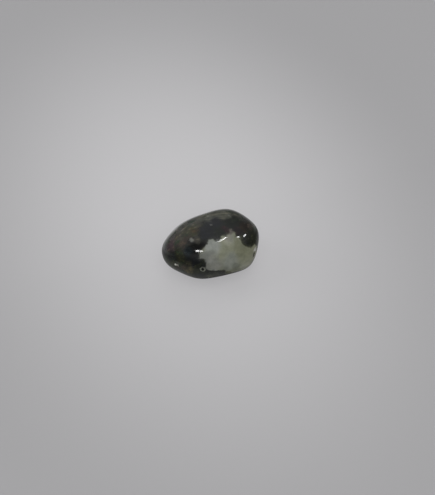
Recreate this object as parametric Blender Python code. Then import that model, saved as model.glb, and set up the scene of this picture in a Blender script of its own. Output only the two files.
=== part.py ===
"""A polished jadeite pebble, about 25 mm long, lying on a small flat spot.

The stone is one piece. Its body is an egg with a narrow nose at -X and a blunt
end at +X, softly cut by worn faces. Low swells and hollows shape its skin, and
a few small pits are left in it. A level cut takes off the lowest point and
leaves the flat spot that it rests on. -Y is the front and +Z is up.
"""

import math

import bmesh
import bpy
import numpy as np

# Egg: how far its skin lies from its centre on each side, in metres
EGG_REACH_LOW = (0.0132, 0.0101, 0.0090)
EGG_REACH_HIGH = (0.0127, 0.0096, 0.0085)
EGG_POWER = 2.1

# Worn faces: azimuth and elevation in degrees, and distance from the centre in metres
WORN_FACES = {
    "upper back": (101, 42, 0.0083),
    "nose back": (133, 32, 0.0100),
    "shoulder": (30, 30, 0.0115),
    "blunt end": (-23, -10, 0.0119),
    "front under": (-89, -44, 0.0085),
    "nose under": (-136, -42, 0.0099),
    "back under": (72, -27, 0.0087),
    "rest": (0, -90, 0.0078),
}
FACE_POWER = 14

# Relief: azimuth, elevation, half length, half height, tilt and lift (down where negative)
RELIEF = {
    "front swell": (-80, 22, 0.0052, 0.0034, 12, 0.00022),
    "nose swell": (-152, 24, 0.0044, 0.0034, 0, 0.00020),
    "waist hollow": (-118, 38, 0.0030, 0.0036, -20, -0.00010),
    "brow ridge": (-62, 46, 0.0060, 0.0026, 14, 0.00014),
    "back swell": (60, 12, 0.0050, 0.0036, -10, 0.00026),
    "back hollow": (112, -4, 0.0040, 0.0026, 15, -0.00034),
    "tail hollow": (12, -24, 0.0028, 0.0022, 30, -0.00030),
    "under hollow": (-150, -46, 0.0030, 0.0020, 40, -0.00026),
    "eye rim": (-118, 9, 0.00105, 0.00100, 0, 0.00010),
    "eye pit": (-118, 9, 0.00060, 0.00058, 0, -0.00034),
    "chip rim": (-38, 5, 0.00110, 0.00170, -18, 0.00012),
    "chip": (-38, 4, 0.00062, 0.00125, -18, -0.00042),
    "nose pit": (-152, 7, 0.00080, 0.00055, 20, -0.00024),
    "back pit": (84, 26, 0.00080, 0.00060, -35, -0.00026),
    "tail pit": (48, -6, 0.00070, 0.00055, 60, -0.00022),
}
RELIEF_FADE = 2.5

# Flat spot: height of the level cut, from the egg's centre, and the shortest edge kept at its rim
REST_LEVEL = -0.0076
RIM_EDGE = 0.00008
FLAT_NORMAL = -0.9999

# Facets: squares along each cube edge, how often those near a pit are halved, and the angle of a sharp edge
SQUARES = 24
PIT_HALVINGS = 2
PIT_LIMIT = 0.0012
PIT_MARGIN = 1.5
SHARP_ANGLE = 40

STONE_COLOUR = (0.045, 0.052, 0.040, 1.0)
STONE_ROUGHNESS = 0.12
STONE_IOR = 1.66


def clear_scene():
    for old in list(bpy.data.objects):
        bpy.data.objects.remove(old, do_unlink=True)


def heading(azimuth, elevation):
    """Unit vector at an azimuth from +X and an elevation, both in degrees."""
    turn = math.radians(azimuth)
    rise = math.radians(elevation)
    level = math.cos(rise)
    return np.array([level * math.cos(turn), level * math.sin(turn), math.sin(rise)])


def body_points(directions):
    """Points of the egg with its worn faces, in the given directions from its centre."""
    reach = np.where(directions > 0, EGG_REACH_HIGH, EGG_REACH_LOW)
    egg = (np.abs(directions / reach) ** EGG_POWER).sum(axis=1) ** (1 / EGG_POWER)
    total = egg**FACE_POWER
    for azimuth, elevation, distance in WORN_FACES.values():
        facing = np.clip(directions @ heading(azimuth, elevation), 0, None)
        total = total + (facing / distance) ** FACE_POWER
    return directions * (total ** (-1 / FACE_POWER))[:, None]


def nearness(points, feature):
    """How near each point is to a feature: 1 in its middle, fading out past its oval's edge."""
    azimuth, elevation, half_length, half_height, tilt, _ = feature
    out = heading(azimuth, elevation)
    side = np.cross((0, 0, 1), out)
    side /= np.linalg.norm(side)
    up = np.cross(out, side)
    turn = math.radians(tilt)
    along = math.cos(turn) * side + math.sin(turn) * up
    across = math.cos(turn) * up - math.sin(turn) * side
    offset = points - body_points(out[None, :])
    spread = (offset @ along / half_length) ** 2 + (offset @ across / half_height) ** 2
    spread += (offset @ out / max(half_length, half_height)) ** 2
    return np.exp(-RELIEF_FADE * spread)


def skin_points(directions):
    """Points of the finished skin: the body with its swells, hollows and pits."""
    points = body_points(directions)
    lift = np.zeros(len(points))
    for feature in RELIEF.values():
        lift += feature[-1] * nearness(points, feature)
    return points + directions * lift[:, None]


def unit_rows(rows):
    return rows / np.linalg.norm(rows, axis=1)[:, None]


def cube_sphere(squares):
    """A ball of even squares: a cut-up cube blown up to radius 1."""
    ball = bmesh.new()
    bmesh.ops.create_cube(ball, size=2)
    bmesh.ops.subdivide_edges(ball, edges=ball.edges[:], cuts=squares - 1, use_grid_fill=True)
    for vert in ball.verts:
        for axis in range(3):
            vert.co[axis] = math.tan(vert.co[axis] * math.pi / 4)
        vert.co.normalize()
    return ball


def halve_near_pits(ball):
    """Halve the edges that lie in or beside a small pit, and round the new points out."""
    middles = np.array([(edge.verts[0].co + edge.verts[1].co) / 2 for edge in ball.edges])
    points = body_points(unit_rows(middles))
    close = np.zeros(len(points), dtype=bool)
    for azimuth, elevation, half_length, half_height, _, _ in RELIEF.values():
        longest = max(half_length, half_height)
        if longest > PIT_LIMIT:
            continue
        middle = body_points(heading(azimuth, elevation)[None, :])
        close |= np.linalg.norm(points - middle, axis=1) < longest * PIT_MARGIN
    edges = [edge for edge, near in zip(list(ball.edges), close) if near]
    bmesh.ops.subdivide_edges(ball, edges=edges, cuts=1, use_grid_fill=True)
    for vert in ball.verts:
        vert.co.normalize()


def cut_flat_spot(stone):
    """Take off what lies below the rest level and close the cut with one flat face."""
    everything = stone.verts[:] + stone.edges[:] + stone.faces[:]
    bmesh.ops.bisect_plane(
        stone, geom=everything, plane_co=(0, 0, REST_LEVEL), plane_no=(0, 0, -1), clear_outer=True
    )
    close = [vert for vert in stone.verts if vert.co.z < REST_LEVEL + RIM_EDGE]
    bmesh.ops.remove_doubles(stone, verts=close, dist=RIM_EDGE)
    for vert in stone.verts:
        if vert.is_boundary:
            vert.co.z = REST_LEVEL
    bmesh.ops.contextual_create(stone, geom=[edge for edge in stone.edges if edge.is_boundary])


def stone_mesh():
    """The stone's mesh, with its origin under the middle of its box, on the surface."""
    stone = cube_sphere(SQUARES)
    for _ in range(PIT_HALVINGS):
        halve_near_pits(stone)
    points = skin_points(unit_rows(np.array([vert.co for vert in stone.verts])))
    for vert, point in zip(stone.verts, points):
        vert.co = point
    cut_flat_spot(stone)
    curved = [face for face in stone.faces if len(face.verts) > 3 and face.normal.z > FLAT_NORMAL]
    bmesh.ops.triangulate(stone, faces=curved)
    bmesh.ops.recalc_face_normals(stone, faces=stone.faces[:])
    points = np.array([vert.co for vert in stone.verts])
    middle = (points.min(axis=0) + points.max(axis=0)) / 2
    bmesh.ops.translate(stone, verts=stone.verts[:], vec=(-middle[0], -middle[1], -REST_LEVEL))
    mesh = bpy.data.meshes.new("jadeite_pebble")
    stone.to_mesh(mesh)
    stone.free()
    return mesh


def stone_material():
    """Polished dark green jadeite."""
    material = bpy.data.materials.new("polished_jadeite")
    material.use_nodes = True
    shader = material.node_tree.nodes["Principled BSDF"]
    shader.inputs["Base Color"].default_value = STONE_COLOUR
    shader.inputs["Roughness"].default_value = STONE_ROUGHNESS
    shader.inputs["Metallic"].default_value = 0
    shader.inputs["IOR"].default_value = STONE_IOR
    return material


def make_pebble():
    pebble = bpy.data.objects.new("jadeite_pebble", stone_mesh())
    pebble.data.materials.append(stone_material())
    bpy.context.scene.collection.objects.link(pebble)
    pebble.data.shade_smooth()
    pebble.data.set_sharp_from_angle(angle=math.radians(SHARP_ANGLE))
    return pebble


def main():
    clear_scene()
    make_pebble()


main()
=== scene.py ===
import math

import bmesh
import bpy
import numpy as np
from mathutils import Matrix, Vector


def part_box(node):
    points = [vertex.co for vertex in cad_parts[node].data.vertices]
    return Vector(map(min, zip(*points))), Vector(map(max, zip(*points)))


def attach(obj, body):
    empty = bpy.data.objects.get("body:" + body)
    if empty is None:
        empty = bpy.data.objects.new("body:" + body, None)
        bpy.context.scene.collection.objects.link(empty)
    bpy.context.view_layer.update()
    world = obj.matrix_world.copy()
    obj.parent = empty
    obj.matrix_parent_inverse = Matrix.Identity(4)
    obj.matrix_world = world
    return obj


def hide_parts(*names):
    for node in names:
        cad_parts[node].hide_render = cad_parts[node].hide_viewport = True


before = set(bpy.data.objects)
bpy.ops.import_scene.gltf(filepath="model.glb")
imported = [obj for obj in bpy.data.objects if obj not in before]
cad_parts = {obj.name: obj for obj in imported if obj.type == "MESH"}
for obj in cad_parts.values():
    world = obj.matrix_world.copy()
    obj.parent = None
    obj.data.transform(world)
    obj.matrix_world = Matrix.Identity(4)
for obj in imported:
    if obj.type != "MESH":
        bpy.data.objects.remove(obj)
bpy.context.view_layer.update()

NODE = "jadeite_pebble"

# The stone's form, as in its solid: azimuths and elevations in degrees, lengths in metres
EGG_REACH_LOW = (0.0132, 0.0101, 0.0090)
EGG_REACH_HIGH = (0.0127, 0.0096, 0.0085)
EGG_POWER = 2.1

# Worn faces: azimuth, elevation and distance from the egg's centre
WORN_FACES = {
    "upper back": (101, 42, 0.0083),
    "nose back": (133, 32, 0.0100),
    "shoulder": (30, 30, 0.0115),
    "blunt end": (-23, -10, 0.0119),
    "front under": (-89, -44, 0.0085),
    "nose under": (-136, -42, 0.0099),
    "back under": (72, -27, 0.0087),
    "rest": (0, -90, 0.0078),
}
FACE_POWER = 14

# Relief: azimuth, elevation, half length, half height, tilt and lift (down where negative)
RELIEF = {
    "front swell": (-80, 22, 0.0052, 0.0034, 12, 0.00022),
    "nose swell": (-152, 24, 0.0044, 0.0034, 0, 0.00020),
    "waist hollow": (-118, 38, 0.0030, 0.0036, -20, -0.00010),
    "brow ridge": (-62, 46, 0.0060, 0.0026, 14, 0.00014),
    "back swell": (60, 12, 0.0050, 0.0036, -10, 0.00026),
    "back hollow": (112, -4, 0.0040, 0.0026, 15, -0.00034),
    "tail hollow": (12, -24, 0.0028, 0.0022, 30, -0.00030),
    "under hollow": (-150, -46, 0.0030, 0.0020, 40, -0.00026),
    "eye rim": (-118, 9, 0.00105, 0.00100, 0, 0.00010),
    "eye pit": (-118, 9, 0.00060, 0.00058, 0, -0.00034),
    "chip rim": (-38, 5, 0.00110, 0.00170, -18, 0.00012),
    "chip": (-38, 4, 0.00062, 0.00125, -18, -0.00042),
    "nose pit": (-152, 7, 0.00080, 0.00055, 20, -0.00024),
    "back pit": (84, 26, 0.00080, 0.00060, -35, -0.00026),
    "tail pit": (48, -6, 0.00070, 0.00055, 60, -0.00022),
}
RELIEF_FADE = 2.5

# Flat spot: height of the level cut, from the egg's centre
REST_LEVEL = -0.0076

# Finer skin: squares along a cube edge, ripple lengths and heights, and pinholes
SQUARES = 127
REST_EDGE = 0.00004
RIPPLES = ((0.0046, 0.000009), (0.0017, 0.0000008))
RIPPLE_WAVES = 24
PINHOLES = 26
PINHOLE_RADIUS = (0.00024, 0.00042)
PINHOLE_DEPTH = 0.00006
SEED = 7

MM = 1000.0
UP = (0, 0, 1)
QUARTER_TURN = 90

# Sockets of a mix node for colours: its factor and two colours, and its result
MIX_INPUTS = (0, 6, 7)
MIX_RESULT = 2

# Pale patch: rounds on the skin (azimuth, elevation, radius in mm), joined, less dark bays
PALE_ROUNDS = (
    (-100, 32, 2.85),
    (-76, 29, 3.8),
    (-61, 13, 3.6),
    (-93, 18, 2.75),
    (-117.4, 28, 1.66),
    (-77, 12, 2.8),
    (-109, 11, 1.05),
    (-109.8, 14.8, 1.17),
    (-42, 2, 3.1),
    (-61.3, 46.5, 1.15),
    (-53.5, 48.6, 0.9),
    (-49.8, 54, 0.36),
    (-44.3, 56, 0.20),
    (-76, 51.8, 0.6),
    (-107, 44, 1.35),
    (-57, 33, 1.8),
    (-68, -3, 2.0),
    (-52, -8, 2.2),
    (-20, -14, 2.2),
    (-36, -15, 1.8),
    (-8, -20, 1.8),
    (3, -25, 1.9),
    (20, -33, 2.5),
    (40, -27, 1.9),
    (58, -35, 2.8),
    (78, -29, 1.7),
    (92, -38, 1.5),
    (102, -33, 0.8),
    (113, -27, 0.45),
    (50, -13, 0.7),
    (30, -11, 0.4),
)
DARK_BAYS = (
    (-120.5, 19, 0.85),
    (-33, 30.2, 2.62),
    (-124.5, 43.8, 0.95),
    (-121.5, 42.7, 0.45),
    (-29, 23, 1.4),
    (-116, 2, 0.7),
    (13, -19, 0.7),
    (47, -42, 0.9),
    (68, -24, 0.6),
)

# How softly rounds and bays join, and from where to where the patch breaks up, in mm from its middle
ROUND_JOIN = 0.7
BAY_JOIN = 0.3
PATCH_MIDDLE = (-84, 22)
PATCH_REACH = (9.0, 13.0)

# Tints of the dark stone: azimuth, elevation, radius in mm, strength and colour. The edge, rim and band
# tints are painted sheen along the silhouette, the under band tint is a painted reflection of the
# floor, and the blue front tint is a painted halo of the left glint
TINTS = {
    # painted sheen: lighter grey along the upper left edge and rim
    "upper left edge": (164, 48, 3.0, 0.85, (0.072, 0.072, 0.066)),
    "upper left rim": (160, 31, 2.3, 0.85, (0.108, 0.103, 0.108)),
    "far left": (-178, 22, 1.9, 0.8, (0.074, 0.069, 0.071)),
    "olive left": (178, 47, 3.0, 0.85, (0.048, 0.047, 0.030)),
    "brown left": (-166, 59, 2.0, 0.8, (0.036, 0.023, 0.011)),
    "slate middle": (-128, 63, 2.6, 0.9, (0.008, 0.009, 0.012)),
    "slate top": (-30, 86, 3.0, 0.9, (0.010, 0.011, 0.015)),
    "green top": (-8, 58, 3.0, 0.95, (0.001, 0.003, 0.001)),
    "red right": (-21, 38, 2.2, 0.8, (0.013, 0.006, 0.001)),
    "purple by spike": (-54, 61, 1.2, 0.9, (0.018, 0.007, 0.009)),
    "purple right": (-38, 47, 1.6, 0.9, (0.009, 0.004, 0.005)),
    "mauve nose": (-170, 22, 2.3, 0.9, (0.055, 0.038, 0.042)),
    "pink streaks": (-159, 36, 2.3, 0.8, (0.048, 0.034, 0.026)),
    "olive front": (-150, 19, 2.2, 0.8, (0.020, 0.021, 0.009)),
    "slate nose": (-163, 10, 1.9, 0.9, (0.007, 0.008, 0.010)),
    "yellow olive": (-137, 4, 1.6, 0.9, (0.052, 0.046, 0.025)),
    "brown low": (-148.5, 5, 1.7, 0.8, (0.045, 0.035, 0.027)),
    "black front": (-134, 23, 3.0, 0.95, (0.002, 0.003, 0.003)),
    "black brow": (-141, 36, 2.9, 0.95, (0.002, 0.002, 0.002)),
    "black notch": (-134, 40, 1.4, 0.95, (0.001, 0.001, 0.001)),
    "black notch right": (-122, 43, 1.4, 0.95, (0.001, 0.001, 0.001)),
    # painted reflection: bluish halo to the left of the left glint
    "blue front": (-144, 27, 1.4, 0.8, (0.009, 0.014, 0.017)),
    "grey streak": (-172, 34, 1.7, 0.8, (0.072, 0.067, 0.055)),
    "brown brow": (-142, 46, 1.3, 0.8, (0.045, 0.042, 0.033)),
    "olive top left": (178, 63, 1.7, 0.8, (0.062, 0.060, 0.046)),
    # painted sheen: lighter greys along the left and upper rim
    "left rim": (177, 27, 1.5, 0.8, (0.105, 0.095, 0.092)),
    "left rim grey": (170, 37, 1.9, 0.8, (0.087, 0.086, 0.080)),
    "upper rim left": (163, 52, 1.8, 0.8, (0.086, 0.088, 0.086)),
    "upper rim": (150, 60, 1.9, 0.8, (0.098, 0.098, 0.088)),
    "olive low": (-138, 12, 1.5, 0.8, (0.026, 0.025, 0.016)),
    # painted sheen: lighter band and rim along the top edge
    "top band": (34, 65, 2.7, 0.85, (0.108, 0.110, 0.087)),
    "top rim": (38, 55, 1.8, 0.8, (0.115, 0.117, 0.095)),
    "shoulder grey": (3, 38, 1.8, 0.7, (0.066, 0.061, 0.057)),
    "shoulder brown": (-12, 29, 1.5, 0.8, (0.064, 0.052, 0.042)),
    # painted sheen: the lighter ends of the top band
    "top band left": (118, 72, 2.8, 0.85, (0.110, 0.112, 0.092)),
    "top band right": (18, 44, 2.2, 0.8, (0.072, 0.072, 0.058)),
    "low edge": (-76, -6, 2.2, 0.9, (0.060, 0.066, 0.022)),
    # painted reflection of the floor: lighter band along the bottom rim
    "under band": (-104, -10, 2.5, 0.9, (0.035, 0.038, 0.028)),
    "black right": (-30, 24, 3.0, 0.95, (0.010, 0.012, 0.005)),
}

# Pale flecks and painted glints: azimuth, elevation, half length and half height in mm, tilt, strength
FLECKS_AND_GLINTS = {
    "brow spot": (-149.3, 42.7, 0.85, 0.65, 0, 0.24),
    # painted glints on the nose pit's rim
    "nose pit rim": (-154.0, 5.0, 0.41, 0.32, 20, 1.0),
    "nose pit rim right": (-151.0, 5.3, 0.40, 0.32, 20, 0.42),
    # painted highlight on the chip's rim
    "chip rim": (-35.5, 8.8, 0.80, 0.70, -18, 1.0),
    # painted reflection: a small light dash on the top
    "top fleck": (-118, 78.8, 0.45, 0.28, 0, 0.19),
    "band fleck": (12, 59, 0.7, 0.4, 10, 0.11),
    "band fleck left": (105, 76, 0.8, 0.5, -10, 0.09),
}
# colour of the pale flecks and of the painted glints
FLECK_AND_GLINT_COLOUR = (0.62, 0.62, 0.56)

# Ringed eye, with its ring's radius in mm, and the chip's dark streak, dark stone with painted shade in
# its hollow, as an oval like a fleck's
EYE = (-118.9, 7.9)
EYE_RING = 0.56
CHIP = (-38.7, 3.2, 0.64, 0.95, -18)

# Healed cracks: start and end on the skin, half width in mm, strength and colour
VEINS = {
    "under the patch": ((-117, 4.6), (-86, -1.2), 0.28, 0.82, (0.003, 0.004, 0.003)),
    "back": ((134, 52), (52, -8), 0.06, 0.38, (0.12, 0.13, 0.09)),
    "back branch": ((100, 34), (148, -6), 0.05, 0.26, (0.12, 0.13, 0.09)),
    "tail": ((20, 30), (60, 10), 0.05, 0.25, (0.12, 0.13, 0.09)),
    "belly": ((-175, -30), (-75, -62), 0.06, 0.45, (0.16, 0.17, 0.12)),
}

# Pale stone: its colour, and its tints in the same order as those of the dark stone; some of them are
# painted light on the patch's upper part and painted shade at its lower edge and right side
PALE_COLOUR = (0.240, 0.248, 0.176)
PALE_TINTS = {
    # cool left: cooler grey, and lighter as painted light on the patch's upper left
    "cool left": (-106, 42, 2.7, 0.95, (0.29, 0.305, 0.28)),
    "cool shade": (-107, 28, 1.6, 0.7, (0.200, 0.205, 0.178)),
    "left tip": (-119, 24, 2.4, 0.9, (0.168, 0.175, 0.158)),
    # painted light: lighter under the spike
    "bright middle": (-68, 45, 1.5, 0.85, (0.335, 0.340, 0.272)),
    "blue grey": (-79, 14, 2.8, 0.85, (0.268, 0.284, 0.252)),
    "grey left": (-106, 14, 2.9, 0.9, (0.248, 0.252, 0.228)),
    # painted shade: darker towards the patch's lower edge
    "low edge": (-88, 0, 1.8, 0.8, (0.138, 0.148, 0.114)),
    "smudge": (-71, 4, 1.3, 0.8, (0.158, 0.172, 0.136)),
    "low rim": (-71, -8, 1.9, 0.8, (0.115, 0.124, 0.082)),
    # painted shade: darker beside the dark stone on the right, a soft penumbra
    "shade right": (-54, 28, 2.6, 0.6, (0.185, 0.190, 0.122)),
    "lobe shade": (-113.5, 13, 1.1, 0.8, (0.170, 0.174, 0.150)),
    "pale low right": (-56, -1, 1.7, 0.85, (0.34, 0.35, 0.28)),
    "green right": (-46, 8, 3.4, 0.8, (0.262, 0.268, 0.180)),
    "ridge grey": (-64, 50, 1.5, 0.8, (0.232, 0.231, 0.198)),
    "pink spike": (-47, 57, 1.35, 0.9, (0.112, 0.094, 0.088)),
}

# Noises: repeats per mm, detail and roughness, then the fade's start and end, and its values there
NOISES = {
    "olive clouds": ((0.16, 4.0, 0.55), (0.42, 0.62, 0.0, 1.0)),
    "slate clouds": ((0.22, 3.0, 0.5), (0.50, 0.66, 0.0, 1.0)),
    "patchiness": ((0.9, 5.0, 0.6), (0.28, 0.52, 0.45, 1.0)),
    "bright streaks": ((1.0, 6.0, 0.62), (0.48, 0.70, 0.0, 0.55)),
    "deep streaks": ((1.0, 6.0, 0.62), (0.46, 0.30, 0.0, 0.6)),
    "green clouds": ((1.0, 5.0, 0.6), (0.50, 0.66, 0.0, 0.75)),
    "specks": ((5.5, 2.0, 0.6), (0.60, 0.72, 0.0, 0.22)),
    "pale evenness": ((0.5, 3.0, 0.5), (0.2, 0.5, 0.7, 1.0)),
    "mottle": ((0.8, 6.0, 0.6), (0.30, 0.70, 0.0, 1.0)),
    "grain": ((4.5, 3.0, 0.7), (0.35, 0.65, 0.0, 0.14)),
    "ring wear": ((1.6, 3.0, 0.5), (0.3, 0.6, 0.7, 1.0)),
    "roughness": ((1.1, 4.0, 0.5), (0.35, 0.75, 0.05, 0.11)),
}

# Noises without a fade, and how much each of them does, in mm
BREAKUP_NOISE = (0.45, 5.0, 0.6)
BREAKUP_REACH = 3.4
PEEL_NOISE = (1.8, 2.0, 0.5)
PEEL_HEIGHT = 0.0012
FINE_NOISE = (7.0, 2.0, 0.5)
FINE_HEIGHT = 0.0001
NOISE_MIDDLE = 0.5

# Warps that shift a place before it is looked up: repeats per mm, detail and reach in mm
TINT_WARP = (0.42, 3.0, 2.2)
PATCH_WARP = (0.7, 6.0, 1.7)
FLECK_WARP = (2.2, 3.0, 0.7)
VEIN_WARP = (0.5, 4.0, 1.1)

# Dark stone: colours, the turn in degrees and stretch of its streaks, and what they do to its colour
DEEP_COLOUR = (0.006, 0.008, 0.006)
OLIVE_COLOUR = (0.030, 0.033, 0.016)
SLATE_COLOUR = (0.011, 0.012, 0.015)
GREEN_COLOUR = (0.014, 0.036, 0.016)
SPECK_LIFT = (0.026, 0.028, 0.020)
STREAK_TURN = (0, 14, -12)
STREAK_STRETCH = (0.28, 1.5, 1.5)
STREAK_BRIGHTER = (3.2, 2.9, 2.6)
STREAK_DEEPER = (0.4, 0.4, 0.4)
GREEN_STRETCH = (0.30, 0.55, 0.80)

# Pale stone: what its mottle and grain do to its colour
MOTTLE_DARKER = (0.84, 0.85, 0.84)
MOTTLE_LIGHTER = (1.10, 1.09, 1.09)
GRAIN_DARKER = (0.72, 0.74, 0.72)

# Marks: colours, and where each fades in, in mm or in parts of its own size
RING_COLOUR = (0.172, 0.177, 0.142)
EYE_COLOUR = (0.006, 0.007, 0.005)
# the chip's dark stone with painted shade in its hollow
CHIP_DARK_AND_SHADE_COLOUR = (0.006, 0.007, 0.004)
TINT_FADE = (1.15, 0.45)
PATCH_RIM_FADE = (-0.6, 0.2, 0.0, 0.16)
PATCH_FADE = (-0.18, 0.30)
FLECK_FADE = (1.1, 0.3)
RING_FADE = (0.26, 0.05)
EYE_FADE = (0.40, 0.20)
CHIP_FADE = (1.1, 0.5, 0.0, 0.95)
VEIN_FADE = 0.3
VEIN_ENDS = (1.1, 0.8)

# Polish
STONE_IOR = 1.66
SUBSURFACE_WEIGHT = 0.12
SUBSURFACE_RADIUS = (1.0, 0.9, 0.7)
SUBSURFACE_SCALE = 0.0005

# Photograph: its size and the stone's middle in pixels, its scale, and its viewing angle in degrees
IMAGE_SIZE = (435, 495)
STONE_PIXEL = (211.2, 244.25)
PIXELS_PER_METRE = 3915
VIEW_AZIMUTH = -16
VIEW_ELEVATION = 45
VIEW_DISTANCE = 0.300
SENSOR = 36.0
CLIP_START = 0.01

# Glints: where each starts and ends on the skin, its lamp's thickness in degrees, its radiance
GLINTS = {
    "left": ((-133.2, 31.8), (-128.5, 33.0), 4.0, 21),
    "left small": ((-126.0, 32.8), (-123.2, 33.0), 3.8, 21),
    "ridge tail": ((-91.0, 47.7), (-87.6, 48.4), 1.8, 14),
    "ridge": ((-86.4, 49.1), (-70.4, 50.9), 1.75, 18),
    "right": ((-49.9, 41.7), (-45.9, 39.7), 3.0, 16),
    "far right": ((-38.7, 35.4), (-33.0, 34.5), 2.4, 17),
}
GLINT_DISTANCE = 0.4
FACING_STEP = 0.03

# Soft lamps: azimuth, elevation, width and watts
SOFT_LAMPS = {
    "left": (164, 40, 0.5, 1.3),
    "behind": (74, 52, 0.6, 0.9),
    "front": (-100, 55, 0.7, 3.7),
}
SOFT_DISTANCE = 0.9
SOFT_TARGET = np.array((0.0, 0.0, 0.005))

# Stage: the floor and the wall that curves up around it
FLOOR_RADIUS = 0.9
RING_POINTS = 96
RING_START = 0.0001
WALL_STEPS = 8
WALL_DEPTH = 0.3
WALL_HEIGHT = 0.7

# Mirrored floor, a glowing sheet seen only in the polish: its painted brightness over spans in metres,
# dim in front, paler behind, with painted shade at the contact
MIRROR_HEIGHT = 0.00005
FRONT_SPAN = (0.012, 0.050)
FRONT_SHADE = (0.24, 0.09)
BEHIND_STARTS = (0.006, 0.021)
MIRROR_RISE = 0.008
BEHIND_SLOPES = (0.0, 0.3)
BEHIND_SHADE = (0.10, 0.50)
BRIGHT_AZIMUTH = 98
CONTACT_SPAN = (0.005, 0.013)
CONTACT_SHADE = (0.25, 1.0)

# Paper, and the oval pool of light on it, which fades out over a span in metres
FLOOR_COLOUR = (0.2116, 0.2094, 0.2138)
FLOOR_ROUGHNESS = 0.9
FIBRE_NOISE = (900.0, 3.0, 0.5)
FIBRE_SHADE = 0.985
POOL_MIDDLE = (0.0, 0.017, 0.0)
POOL_STRETCH = (1.1, 0.72, 1.0)
POOL_SPAN = (0.008, 0.085)
POOL_GLOW = (1.75, 0.97)

# Room: its colours low and overhead, and its darker corner, whose span is in cosines
WORLD_LOW = (0.10, 0.10, 0.105)
WORLD_HIGH = (0.36, 0.365, 0.365)
WORLD_RISE = (0.05, 0.95)
DARK_CORNER = (-136, 54)
CORNER_SPAN = (0.917, 0.982)
CORNER_SHADE = (1.0, 0.35)


def heading(azimuth, elevation):
    """Unit vector at an azimuth from +X and an elevation, both in degrees."""
    turn = math.radians(azimuth)
    rise = math.radians(elevation)
    level = math.cos(rise)
    return np.array([level * math.cos(turn), level * math.sin(turn), math.sin(rise)])


def unit_rows(rows):
    return rows / np.linalg.norm(rows, axis=1)[:, None]


def body_points(directions):
    """Points of the egg with its worn faces, in the given directions from its centre."""
    reach = np.where(directions > 0, EGG_REACH_HIGH, EGG_REACH_LOW)
    egg = (np.abs(directions / reach) ** EGG_POWER).sum(axis=1) ** (1 / EGG_POWER)
    total = egg**FACE_POWER
    for azimuth, elevation, distance in WORN_FACES.values():
        facing = np.clip(directions @ heading(azimuth, elevation), 0, None)
        total = total + (facing / distance) ** FACE_POWER
    return directions * (total ** (-1 / FACE_POWER))[:, None]


def oval_axes(azimuth, elevation, tilt):
    """The long axis, the short axis and the way out of an oval on the skin."""
    out = heading(azimuth, elevation)
    side = np.cross(UP, out)
    side /= np.linalg.norm(side)
    up = np.cross(out, side)
    turn = math.radians(tilt)
    along = math.cos(turn) * side + math.sin(turn) * up
    across = math.cos(turn) * up - math.sin(turn) * side
    return along, across, out


def nearness(points, feature):
    """How near each point is to a feature: 1 in its middle, fading out past its oval's edge."""
    azimuth, elevation, half_length, half_height, tilt, _ = feature
    along, across, out = oval_axes(azimuth, elevation, tilt)
    offset = points - body_points(out[None, :])
    spread = (offset @ along / half_length) ** 2 + (offset @ across / half_height) ** 2
    spread += (offset @ out / max(half_length, half_height)) ** 2
    return np.exp(-RELIEF_FADE * spread)


def skin_points(directions):
    """Points of the solid's skin: the body with its swells, hollows and pits."""
    points = body_points(directions)
    lift = np.zeros(len(points))
    for feature in RELIEF.values():
        lift += feature[-1] * nearness(points, feature)
    return points + directions * lift[:, None]


def ripple(points, wavelength, height, seed):
    """A gentle unevenness: waves of one length, each running its own way."""
    draw = np.random.default_rng(seed)
    waves = unit_rows(draw.normal(size=(RIPPLE_WAVES, 3))) * (2 * math.pi / wavelength)
    starts = draw.uniform(0, 2 * math.pi, RIPPLE_WAVES)
    return height * np.sin(points @ waves.T + starts).sum(axis=1) / math.sqrt(RIPPLE_WAVES)


def fine_points(directions):
    """Points of the finished skin: the solid's skin with its ripple and pinholes."""
    points = skin_points(directions)
    lift = np.zeros(len(points))
    for number, (wavelength, height) in enumerate(RIPPLES):
        lift += ripple(points, wavelength, height, SEED + number)
    draw = np.random.default_rng(SEED)
    for middle in body_points(unit_rows(draw.normal(size=(PINHOLES, 3)))):
        radius = draw.uniform(*PINHOLE_RADIUS)
        inside = np.clip(1 - ((points - middle) ** 2).sum(axis=1) / radius**2, 0, None)
        lift -= PINHOLE_DEPTH * inside**2
    return points + directions * lift[:, None]


def level_rest(points):
    """Turn the skin over a narrow edge into the flat spot, level with REST_LEVEL."""
    height = points[:, 2] - REST_LEVEL
    edge = np.clip(1 - np.abs(height) / REST_EDGE, 0, None)
    points[:, 2] = REST_LEVEL + np.maximum(height, 0) + edge**2 * REST_EDGE / 4
    return points


def egg_middle(directions):
    """Where the egg's centre lies in the frame, whose origin is under the middle of the box."""
    points = skin_points(directions)
    middle = (points.min(axis=0) + points.max(axis=0)) / 2
    return np.array([-middle[0], -middle[1], -REST_LEVEL])


def pebble():
    """The polished stone as one fine mesh, and where the egg's centre lies in it."""
    ball = bmesh.new()
    bmesh.ops.create_cube(ball, size=2)
    bmesh.ops.subdivide_edges(ball, edges=ball.edges[:], cuts=SQUARES - 1, use_grid_fill=True)
    mesh = bpy.data.meshes.new("polished_pebble")
    ball.to_mesh(mesh)
    ball.free()
    places = np.empty(len(mesh.vertices) * 3)
    mesh.vertices.foreach_get("co", places)
    directions = unit_rows(np.tan(places.reshape(-1, 3) * math.pi / 4))
    centre = egg_middle(directions)
    points = level_rest(fine_points(directions)) + centre
    mesh.vertices.foreach_set("co", points.ravel())
    mesh.update()
    mesh.shade_smooth()
    stone = bpy.data.objects.new("polished_pebble", mesh)
    bpy.context.scene.collection.objects.link(stone)
    return stone, centre


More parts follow.
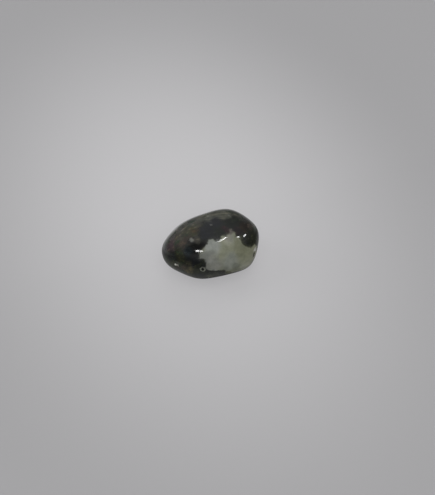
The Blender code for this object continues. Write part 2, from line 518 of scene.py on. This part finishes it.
class Nodes:
    """Short ways to add nodes to the tree of a material or a world."""

    def __init__(self, owner):
        owner.use_nodes = True
        self.owner = owner
        self.tree = owner.node_tree
        self.tree.nodes.clear()

    def feed(self, socket, value):
        if isinstance(value, bpy.types.NodeSocket):
            self.tree.links.new(value, socket)
        elif socket.type == "RGBA" and len(value) == 3:
            socket.default_value = (*value, 1)
        else:
            socket.default_value = value

    def add(self, kind, values, **settings):
        node = self.tree.nodes.new(kind)
        for name, value in settings.items():
            setattr(node, name, value)
        for key, value in dict(values).items():
            self.feed(node.inputs[key], value)
        return node

    def math(self, operation, *values):
        return self.add("ShaderNodeMath", enumerate(values), operation=operation).outputs[0]

    def vector(self, operation, *values):
        return self.add("ShaderNodeVectorMath", enumerate(values), operation=operation).outputs[0]

    def dot(self, first, second):
        node = self.add("ShaderNodeVectorMath", {0: first, 1: second}, operation="DOT_PRODUCT")
        return node.outputs["Value"]

    def distance(self, first, second):
        node = self.add("ShaderNodeVectorMath", {0: first, 1: second}, operation="DISTANCE")
        return node.outputs["Value"]

    def noise(self, place, per_mm, detail, roughness):
        values = {"Vector": place, "Scale": per_mm, "Detail": detail, "Roughness": roughness}
        return self.add("ShaderNodeTexNoise", values).outputs[0]

    def faded_noise(self, place, name):
        noise, fade = NOISES[name]
        return self.fade(self.noise(place, *noise), *fade)

    def warped(self, place, per_mm, detail, reach):
        """The place, shifted by up to about a fifth of reach on each side."""
        values = {"Vector": place, "Scale": per_mm, "Detail": detail}
        colour = self.add("ShaderNodeTexNoise", values).outputs[1]
        centred = self.vector("SUBTRACT", colour, (NOISE_MIDDLE, NOISE_MIDDLE, NOISE_MIDDLE))
        return self.vector("ADD", place, self.vector("MULTIPLY", centred, (reach, reach, reach)))

    def fade(self, value, start, end, low=0.0, high=1.0):
        """Smooth change from low, where value is start, to high, where it is end."""
        values = enumerate((value, start, end, low, high))
        return self.add("ShaderNodeMapRange", values, interpolation_type="SMOOTHSTEP").outputs[0]

    def blend(self, factor, first, second):
        """The first colour where factor is 0, and the second where it is 1."""
        values = zip(MIX_INPUTS, (factor, first, second))
        return self.add("ShaderNodeMix", values, data_type="RGBA").outputs[MIX_RESULT]


def mark(azimuth, elevation):
    """A place on the skin, in millimetres from the egg's centre."""
    return tuple(body_points(heading(azimuth, elevation)[None, :])[0] * MM)


def oval_distance(nodes, place, azimuth, elevation, half_length, half_height, tilt):
    """How far out a place lies in an oval on the skin: 0 in its middle, 1 at its edge."""
    along, across, out = oval_axes(azimuth, elevation, tilt)
    offset = nodes.vector("SUBTRACT", place, mark(azimuth, elevation))
    parts = []
    for axis, reach in ((along, half_length), (across, half_height), (out, half_length)):
        part = nodes.dot(offset, tuple(axis / reach))
        parts.append(nodes.math("MULTIPLY", part, part))
    return nodes.math("SQRT", nodes.math("ADD", nodes.math("ADD", parts[0], parts[1]), parts[2]))


def patch_depth(nodes, place):
    """How far a place lies inside the pale patch, in millimetres."""
    outside = None
    for azimuth, elevation, radius in PALE_ROUNDS:
        away = nodes.math("SUBTRACT", nodes.distance(place, mark(azimuth, elevation)), radius)
        outside = away if outside is None else nodes.math("SMOOTH_MIN", outside, away, ROUND_JOIN)
    for azimuth, elevation, radius in DARK_BAYS:
        away = nodes.math("SUBTRACT", radius, nodes.distance(place, mark(azimuth, elevation)))
        outside = nodes.math("SMOOTH_MAX", outside, away, BAY_JOIN)
    return nodes.math("MULTIPLY", outside, -1.0)


def vein_cover(nodes, place, warped, start, end, half_width):
    """How far a place lies in a thin line between two places on the skin."""
    first = np.array(mark(*start))
    last = np.array(mark(*end))
    across = np.cross(first, last)
    across /= np.linalg.norm(across)
    middle = body_points(unit_rows((first + last)[None, :]))[0] * MM
    reach = np.linalg.norm(last - first) / 2
    off = nodes.math("ABSOLUTE", nodes.dot(warped, tuple(across)))
    line = nodes.fade(off, half_width, half_width * VEIN_FADE)
    away = nodes.math("DIVIDE", nodes.distance(place, tuple(middle)), reach)
    return nodes.math("MULTIPLY", line, nodes.fade(away, *VEIN_ENDS))


def tinted(nodes, place, colour, tints, patchiness):
    """The colour, with soft tints around their places on the skin."""
    for azimuth, elevation, radius, strength, tint in tints.values():
        away = nodes.math("DIVIDE", nodes.distance(place, mark(azimuth, elevation)), radius)
        cover = nodes.fade(away, *TINT_FADE, 0.0, strength)
        colour = nodes.blend(nodes.math("MULTIPLY", cover, patchiness), colour, tint)
    return colour


def dark_stone(nodes, place, loose, hidden):
    """Black-green stone with olive, slate and brown clouds, tints and long streaks; some tints are
    painted sheen and painted reflections.
    """
    colour = nodes.blend(nodes.faded_noise(place, "olive clouds"), DEEP_COLOUR, OLIVE_COLOUR)
    colour = nodes.blend(nodes.faded_noise(place, "slate clouds"), colour, SLATE_COLOUR)
    colour = tinted(nodes, loose, colour, TINTS, nodes.faded_noise(place, "patchiness"))
    turn = tuple(math.radians(angle) for angle in STREAK_TURN)
    values = {"Vector": place, "Rotation": turn, "Scale": STREAK_STRETCH}
    drawn_out = nodes.add("ShaderNodeMapping", values).outputs[0]
    brighter = nodes.vector("MULTIPLY", colour, STREAK_BRIGHTER)
    colour = nodes.blend(nodes.faded_noise(drawn_out, "bright streaks"), colour, brighter)
    deeper = nodes.vector("MULTIPLY", colour, STREAK_DEEPER)
    colour = nodes.blend(nodes.faded_noise(drawn_out, "deep streaks"), colour, deeper)
    green = nodes.faded_noise(nodes.vector("MULTIPLY", loose, GREEN_STRETCH), "green clouds")
    colour = nodes.blend(nodes.math("MULTIPLY", green, hidden), colour, GREEN_COLOUR)
    specked = nodes.vector("ADD", colour, SPECK_LIFT)
    return nodes.blend(nodes.faded_noise(place, "specks"), colour, specked)


def pale_stone(nodes, place, loose):
    """Grey-green stone, cooler to the left and greener to the right, softly mottled, with painted light
    on its upper part and painted shade at its lower edge and right side.
    """
    colour = tinted(nodes, loose, PALE_COLOUR, PALE_TINTS, nodes.faded_noise(place, "pale evenness"))
    darker = nodes.vector("MULTIPLY", colour, MOTTLE_DARKER)
    lighter = nodes.vector("MULTIPLY", colour, MOTTLE_LIGHTER)
    colour = nodes.blend(nodes.faded_noise(place, "mottle"), darker, lighter)
    grained = nodes.vector("MULTIPLY", colour, GRAIN_DARKER)
    return nodes.blend(nodes.faded_noise(place, "grain"), colour, grained)


def patched_stone(nodes, place):
    """The dark stone with the pale patch in it, more broken up on the hidden side."""
    hidden = nodes.fade(nodes.distance(place, mark(*PATCH_MIDDLE)), *PATCH_REACH)
    breakup = nodes.math("SUBTRACT", nodes.noise(place, *BREAKUP_NOISE), NOISE_MIDDLE)
    breakup = nodes.math("MULTIPLY", breakup, nodes.math("MULTIPLY", hidden, BREAKUP_REACH))
    depth = nodes.math("ADD", patch_depth(nodes, nodes.warped(place, *PATCH_WARP)), breakup)
    loose = nodes.warped(place, *TINT_WARP)
    dark = dark_stone(nodes, place, loose, hidden)
    pale = pale_stone(nodes, place, loose)
    rim = nodes.blend(nodes.fade(depth, *PATCH_RIM_FADE), dark, pale)
    return nodes.blend(nodes.fade(depth, *PATCH_FADE), rim, pale)


def marked(nodes, place, colour):
    """The colour, with the veins, the flecks and painted glints, the ringed eye and the chip's dark
    stone and painted shade over it.
    """
    wander = nodes.warped(place, *VEIN_WARP)
    for start, end, half_width, strength, tint in VEINS.values():
        line = vein_cover(nodes, place, wander, start, end, half_width)
        colour = nodes.blend(nodes.math("MULTIPLY", line, strength), colour, tint)
    frayed = nodes.warped(place, *FLECK_WARP)
    for *oval, strength in FLECKS_AND_GLINTS.values():
        cover = nodes.fade(oval_distance(nodes, frayed, *oval), *FLECK_FADE, 0.0, strength)
        colour = nodes.blend(cover, colour, FLECK_AND_GLINT_COLOUR)
    eye = nodes.distance(frayed, mark(*EYE))
    ring = nodes.math("ABSOLUTE", nodes.math("SUBTRACT", eye, EYE_RING))
    ring = nodes.math("MULTIPLY", nodes.fade(ring, *RING_FADE), nodes.faded_noise(place, "ring wear"))
    colour = nodes.blend(ring, colour, RING_COLOUR)
    colour = nodes.blend(nodes.fade(eye, *EYE_FADE), colour, EYE_COLOUR)
    chip = nodes.fade(oval_distance(nodes, frayed, *CHIP), *CHIP_FADE)
    return nodes.blend(chip, colour, CHIP_DARK_AND_SHADE_COLOUR)


def skin_grain(nodes, place):
    """Very low unevenness of the polish."""
    peel = nodes.math("MULTIPLY", nodes.noise(place, *PEEL_NOISE), PEEL_HEIGHT)
    fine = nodes.math("MULTIPLY", nodes.noise(place, *FINE_NOISE), FINE_HEIGHT)
    height = nodes.math("ADD", peel, fine)
    values = {"Strength": 1.0, "Distance": 1 / MM, "Height": height}
    return nodes.add("ShaderNodeBump", values).outputs[0]


def stone_material(centre):
    """Polished jadeite, looked up in millimetres from the egg's centre."""
    nodes = Nodes(bpy.data.materials.new("polished_jadeite_stone"))
    seen = nodes.add("ShaderNodeTexCoord", {}).outputs["Object"]
    place = nodes.vector("MULTIPLY", nodes.vector("SUBTRACT", seen, tuple(centre)), (MM, MM, MM))
    shader = nodes.add(
        "ShaderNodeBsdfPrincipled",
        {
            "Base Color": marked(nodes, place, patched_stone(nodes, place)),
            "Roughness": nodes.faded_noise(place, "roughness"),
            "IOR": STONE_IOR,
            "Normal": skin_grain(nodes, place),
            "Subsurface Weight": SUBSURFACE_WEIGHT,
            "Subsurface Radius": SUBSURFACE_RADIUS,
            "Subsurface Scale": SUBSURFACE_SCALE,
        },
    )
    nodes.add("ShaderNodeOutputMaterial", {"Surface": shader.outputs[0]})
    return nodes.owner


def view_axes():
    """The camera's right, up and back, for the photograph's viewing angle."""
    back = heading(VIEW_AZIMUTH - QUARTER_TURN, VIEW_ELEVATION)
    right = heading(VIEW_AZIMUTH, 0)
    return right, np.cross(back, right), back


def make_camera(stone_centre):
    """A camera that sees the stone at the photograph's angle, size and place."""
    right, up, back = view_axes()
    shift_x = (IMAGE_SIZE[0] / 2 - STONE_PIXEL[0]) / PIXELS_PER_METRE
    shift_y = (IMAGE_SIZE[1] / 2 - STONE_PIXEL[1]) / PIXELS_PER_METRE
    aim = stone_centre + right * shift_x - up * shift_y
    data = bpy.data.cameras.new("camera")
    data.sensor_width = SENSOR
    data.lens = SENSOR * VIEW_DISTANCE * PIXELS_PER_METRE / IMAGE_SIZE[1]
    data.clip_start = CLIP_START
    camera = bpy.data.objects.new("camera", data)
    camera.location = aim + back * VIEW_DISTANCE
    camera.rotation_euler = Vector(back).to_track_quat("Z", "Y").to_euler()
    bpy.context.scene.collection.objects.link(camera)
    bpy.context.scene.camera = camera
    return camera


def area_lamp(name, place, back, along, size):
    """A rectangular lamp at a place, with its back turned one way and its long side along another."""
    back = Vector(back).normalized()
    side = Vector(along) - Vector(along).project(back)
    side.normalize()
    data = bpy.data.lights.new(name, "AREA")
    data.shape = "RECTANGLE"
    data.size, data.size_y = size
    lamp = bpy.data.objects.new(name, data)
    turn = Matrix((side, back.cross(side), back)).transposed()
    lamp.matrix_world = Matrix.Translation(place) @ turn.to_4x4()
    bpy.context.scene.collection.objects.link(lamp)
    return lamp


def skin_facing(azimuth, elevation):
    """A point of the fine skin, from the egg's centre, and the way the skin faces there."""
    out = heading(azimuth, elevation)
    side = np.cross(UP, out)
    side /= np.linalg.norm(side)
    up = np.cross(out, side)
    side *= FACING_STEP
    up *= FACING_STEP
    around = np.array([out, out + side, out - side, out + up, out - up])
    points = fine_points(unit_rows(around))
    facing = np.cross(points[1] - points[2], points[3] - points[4])
    return points[0], facing / np.linalg.norm(facing)


def mirrored_way(centre, camera, place):
    """A point of the skin, and the way from it to what the camera sees mirrored there."""
    point, facing = skin_facing(*place)
    point = point + centre
    seen = np.array(camera.location) - point
    seen /= np.linalg.norm(seen)
    return point, 2 * facing.dot(seen) * facing - seen


def glint_lamps(centre, camera):
    """Small lamps, each as long as the glint that the camera sees of it."""
    for name, (start, end, thickness, radiance) in GLINTS.items():
        ends = []
        for place in (start, end):
            point, way = mirrored_way(centre, camera, place)
            ends.append(point + way * GLINT_DISTANCE)
        along = ends[1] - ends[0]
        middle = (ends[0] + ends[1]) / 2
        facing = middle - centre
        facing /= np.linalg.norm(facing)
        size = (np.linalg.norm(along), GLINT_DISTANCE * math.radians(thickness))
        lamp = area_lamp("glint_" + name, middle, facing, along, size)
        lamp.data.energy = radiance * math.pi * size[0] * size[1]
        lamp.visible_diffuse = False
        lamp.visible_camera = False


def soft_lamps():
    """Large soft lamps that the polish doesn't mirror."""
    for name, (azimuth, elevation, width, watts) in SOFT_LAMPS.items():
        back = heading(azimuth, elevation)
        side = heading(azimuth + QUARTER_TURN, 0)
        place = SOFT_TARGET + back * SOFT_DISTANCE
        lamp = area_lamp("soft_" + name, place, back, side, (width, width))
        lamp.data.energy = watts
        lamp.visible_glossy = False
        lamp.visible_camera = False


def round_surface(rings):
    """A round surface through rings, each given as its radius and height."""
    shape = bmesh.new()
    circles = []
    for radius, height in rings:
        turns = np.arange(RING_POINTS) * 2 * math.pi / RING_POINTS
        places = [(radius * math.cos(turn), radius * math.sin(turn), height) for turn in turns]
        circles.append([shape.verts.new(place) for place in places])
    for inner, outer in zip(circles, circles[1:]):
        for index in range(RING_POINTS):
            after = (index + 1) % RING_POINTS
            shape.faces.new((inner[index], outer[index], outer[after], inner[after]))
    return shape


def make_floor():
    """A pale paper floor that glows with a painted pool of light, and a pale wall far around it that
    glows the same.
    """
    nodes = Nodes(bpy.data.materials.new("glowing_pale_paper"))
    seen = nodes.add("ShaderNodeTexCoord", {}).outputs["Object"]
    fibre = nodes.noise(seen, *FIBRE_NOISE)
    colour = nodes.blend(fibre, FLOOR_COLOUR, tuple(value * FIBRE_SHADE for value in FLOOR_COLOUR))
    away = nodes.distance(nodes.vector("MULTIPLY", seen, POOL_STRETCH), POOL_MIDDLE)
    # painted pool of light: the paper glows, most under the stone
    glow = nodes.fade(away, *POOL_SPAN, *POOL_GLOW)
    shader = nodes.add(
        "ShaderNodeBsdfPrincipled",
        {
            "Base Color": colour,
            "Roughness": FLOOR_ROUGHNESS,
            "Emission Color": colour,
            "Emission Strength": glow,
        },
    )
    nodes.add("ShaderNodeOutputMaterial", {"Surface": shader.outputs[0]})
    rings = ((RING_START, 0), (FLOOR_RADIUS, 0))
    floor = stage_object("floor", round_surface(rings), nodes.owner)
    floor.visible_glossy = False
    rings = []
    for step in range(WALL_STEPS + 1):
        bend = math.radians(QUARTER_TURN * step / WALL_STEPS)
        radius = FLOOR_RADIUS + WALL_DEPTH * math.sin(bend)
        rings.append((radius, WALL_HEIGHT * (1 - math.cos(bend))))
    backdrop = stage_object("backdrop", round_surface(rings), nodes.owner)
    backdrop.visible_glossy = False
    backdrop.visible_diffuse = False
    backdrop.visible_shadow = False


def mirror_floor():
    """A glowing sheet that the polish mirrors in place of the floor: painted dim in front of the stone,
    paler behind it, with painted shade at the contact.
    """
    nodes = Nodes(bpy.data.materials.new("painted_floor_reflection"))
    seen = nodes.add("ShaderNodeTexCoord", {}).outputs["Object"]
    away = nodes.distance(seen, (0, 0, 0))
    bright_way = tuple(heading(BRIGHT_AZIMUTH, 0))
    behind = nodes.fade(nodes.dot(seen, bright_way), *BEHIND_STARTS)
    slope = nodes.math("DIVIDE", MIRROR_RISE, away)
    behind = nodes.math("MULTIPLY", behind, nodes.fade(slope, *BEHIND_SLOPES, *BEHIND_SHADE))
    shade = nodes.math("MAXIMUM", nodes.fade(away, *FRONT_SPAN, *FRONT_SHADE), behind)
    shade = nodes.math("MULTIPLY", shade, nodes.fade(away, *CONTACT_SPAN, *CONTACT_SHADE))
    glow = nodes.add("ShaderNodeEmission", {"Color": shade})
    nodes.add("ShaderNodeOutputMaterial", {"Surface": glow.outputs[0]})
    rings = ((RING_START, MIRROR_HEIGHT), (FLOOR_RADIUS, MIRROR_HEIGHT))
    mirrored = stage_object("mirrored_floor", round_surface(rings), nodes.owner)
    mirrored.visible_camera = False
    mirrored.visible_diffuse = False
    mirrored.visible_shadow = False


def stage_object(name, shape, material):
    mesh = bpy.data.meshes.new(name)
    shape.to_mesh(mesh)
    shape.free()
    mesh.materials.append(material)
    mesh.shade_smooth()
    item = bpy.data.objects.new(name, mesh)
    bpy.context.scene.collection.objects.link(item)
    return item


def make_world():
    """A dim room with a pale ceiling and one darker corner."""
    world = bpy.data.worlds.new("room")
    bpy.context.scene.world = world
    nodes = Nodes(world)
    way = nodes.add("ShaderNodeTexCoord", {}).outputs["Generated"]
    rise = nodes.add("ShaderNodeSeparateXYZ", {0: way}).outputs["Z"]
    colour = nodes.blend(nodes.fade(rise, *WORLD_RISE), WORLD_LOW, WORLD_HIGH)
    corner = nodes.dot(way, tuple(heading(*DARK_CORNER)))
    colour = nodes.vector("MULTIPLY", colour, nodes.fade(corner, *CORNER_SPAN, *CORNER_SHADE))
    background = nodes.add("ShaderNodeBackground", {"Color": colour})
    nodes.add("ShaderNodeOutputWorld", {"Surface": background.outputs[0]})


stone, centre = pebble()
stone.data.materials.append(stone_material(centre))
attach(stone, "root")
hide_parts(NODE)

low, high = [np.array(corner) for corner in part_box(NODE)]
camera = make_camera((low + high) / 2)
bpy.context.view_layer.update()
glint_lamps(centre, camera)
soft_lamps()
make_floor()
mirror_floor()
make_world()
bpy.context.scene.view_settings.view_transform = "Standard"
